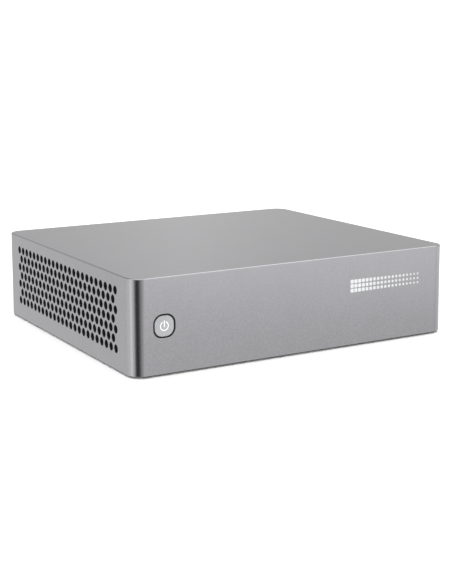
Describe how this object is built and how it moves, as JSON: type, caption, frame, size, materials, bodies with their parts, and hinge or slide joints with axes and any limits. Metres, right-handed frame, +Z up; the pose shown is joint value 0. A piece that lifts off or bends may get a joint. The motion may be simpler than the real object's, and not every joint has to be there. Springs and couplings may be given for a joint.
{
  "type": "mini pc",
  "caption": "Compact low desktop computer: satin aluminium cover with rounded corners and perforated sides, square front power button, rear sockets, and a cooled mainboard inside.",
  "frame": {"origin": "centre of the footprint, on the surface that the feet stand on", "axes": "+X to the right as seen from the front, +Y to the back, +Z up"},
  "size_m": [0.197, 0.174, 0.0508],
  "materials": {
    "housing_aluminium": "bead-blasted, silver anodised",
    "base_plastic": "fine moulded grain, black",
    "rear_panel_steel": "satin black powder coat",
    "screw_steel": "zinc plated",
    "brass_inserts": "turned brass",
    "button_bezel_plastic": "polished black",
    "button_cap_plastic": "silver paint, satin",
    "light_guide_plastic": "milky clear",
    "switch_plunger_plastic": "black",
    "switch_body_metal": "tinned",
    "circuit_board": "dark solder mask",
    "lamp_plastic": "white",
    "cable_black": "soft black sheath",
    "chip_silicon": "polished silicon on a green carrier",
    "connector_plastic": "black",
    "card_board": "solder mask with black chips",
    "shield_can_metal": "tinned can",
    "antenna_film": "film",
    "cell_steel": "brushed",
    "choke_ferrite": "sintered grey",
    "capacitor_cans": "satin",
    "chip_epoxy": "black epoxy",
    "header_plastic": "ivory",
    "copper": "satin copper",
    "fin_aluminium": "black-coated sheet",
    "bracket_steel": "stamped",
    "spring_steel": "bright",
    "fan_plastic": "black",
    "fan_cover_steel": "stamped sheet",
    "fan_rotor_plastic": "black, moulded",
    "bearing_bronze": "sintered bronze",
    "stator_steel": "laminated",
    "port_shell_steel": "nickel plated",
    "jack_plastic": "black",
    "tongue_plastic": "black",
    "contact_gold": "gilt",
    "foot_rubber": "matt black"
  },
  "bodies": {
    "chassis": {"top_housing": "housing_aluminium", "base_tray": "base_plastic", "rear_io_panel": "rear_panel_steel", "housing_screws": "screw_steel", "mount_inserts": "brass_inserts", "power_button_bezel": "button_bezel_plastic", "power_switch_body": "switch_body_metal", "power_switch_board": "circuit_board", "power_lamp": "lamp_plastic", "power_button_cable": "cable_black", "mainboard": "circuit_board", "standoffs": "brass_inserts", "small_screws": "screw_steel", "processor": "chip_silicon", "memory_sockets": "connector_plastic", "memory_module_front": "card_board", "memory_module_rear": "card_board", "card_sockets": "connector_plastic", "ssd_card": "card_board", "radio_card": "shield_can_metal", "antenna_pads": "antenna_film", "antenna_cables": "cable_black", "coin_cell": "cell_steel", "coin_cell_holder": "connector_plastic", "power_chokes": "choke_ferrite", "board_capacitors": "capacitor_cans", "controller_chips": "chip_epoxy", "board_headers": "header_plastic", "cold_plate": "copper", "heat_pipe_inner": "copper", "heat_pipe_outer": "copper", "fin_stack": "fin_aluminium", "cooler_bracket": "bracket_steel", "cooler_backplate": "bracket_steel", "cooler_screws": "screw_steel", "cooler_springs": "spring_steel", "fan_housing": "fan_plastic", "fan_cover": "fan_cover_steel", "fan_bearing": "bearing_bronze", "fan_stator": "stator_steel", "fan_cable": "cable_black", "usb_stack_inner": "port_shell_steel", "usb_stack_outer": "port_shell_steel", "usb_c_port": "port_shell_steel", "display_port": "port_shell_steel", "hdmi_port": "port_shell_steel", "ethernet_port": "port_shell_steel", "audio_jack": "jack_plastic", "power_jack": "jack_plastic", "socket_tongues": "tongue_plastic", "socket_contacts": "contact_gold", "rubber_foot_front_left": "foot_rubber", "rubber_foot_rear_left": "foot_rubber", "rubber_foot_front_right": "foot_rubber", "rubber_foot_rear_right": "foot_rubber"},
    "power_button": {"power_button_cap": "button_cap_plastic", "power_icon_light_guide": "light_guide_plastic"},
    "switch_plunger": {"power_switch_plunger": "switch_plunger_plastic"},
    "fan_impeller": {"fan_rotor": "fan_rotor_plastic", "fan_shaft": "spring_steel"}
  },
  "joints": [
    {"name": "power_button_press", "type": "slide", "parent": "chassis", "child": "power_button", "axis": [0, 1, 0], "range_m": [0, 0.0005], "stiffness_N_per_m": 1500, "springref_m": -0.0002},
    {"name": "switch_plunger_press", "type": "slide", "parent": "chassis", "child": "switch_plunger", "axis": [0, 1, 0], "range_m": [0, 0.0005]},
    {"name": "fan_spin", "type": "hinge", "parent": "chassis", "child": "fan_impeller", "pos_m": [-0.022, 0.02, 0.0156], "axis": [0, 0, 1], "continuous": true}
  ],
  "couplings": [
    {"joint": "switch_plunger_press", "follows": "power_button_press", "ratio": 1}
  ]
}
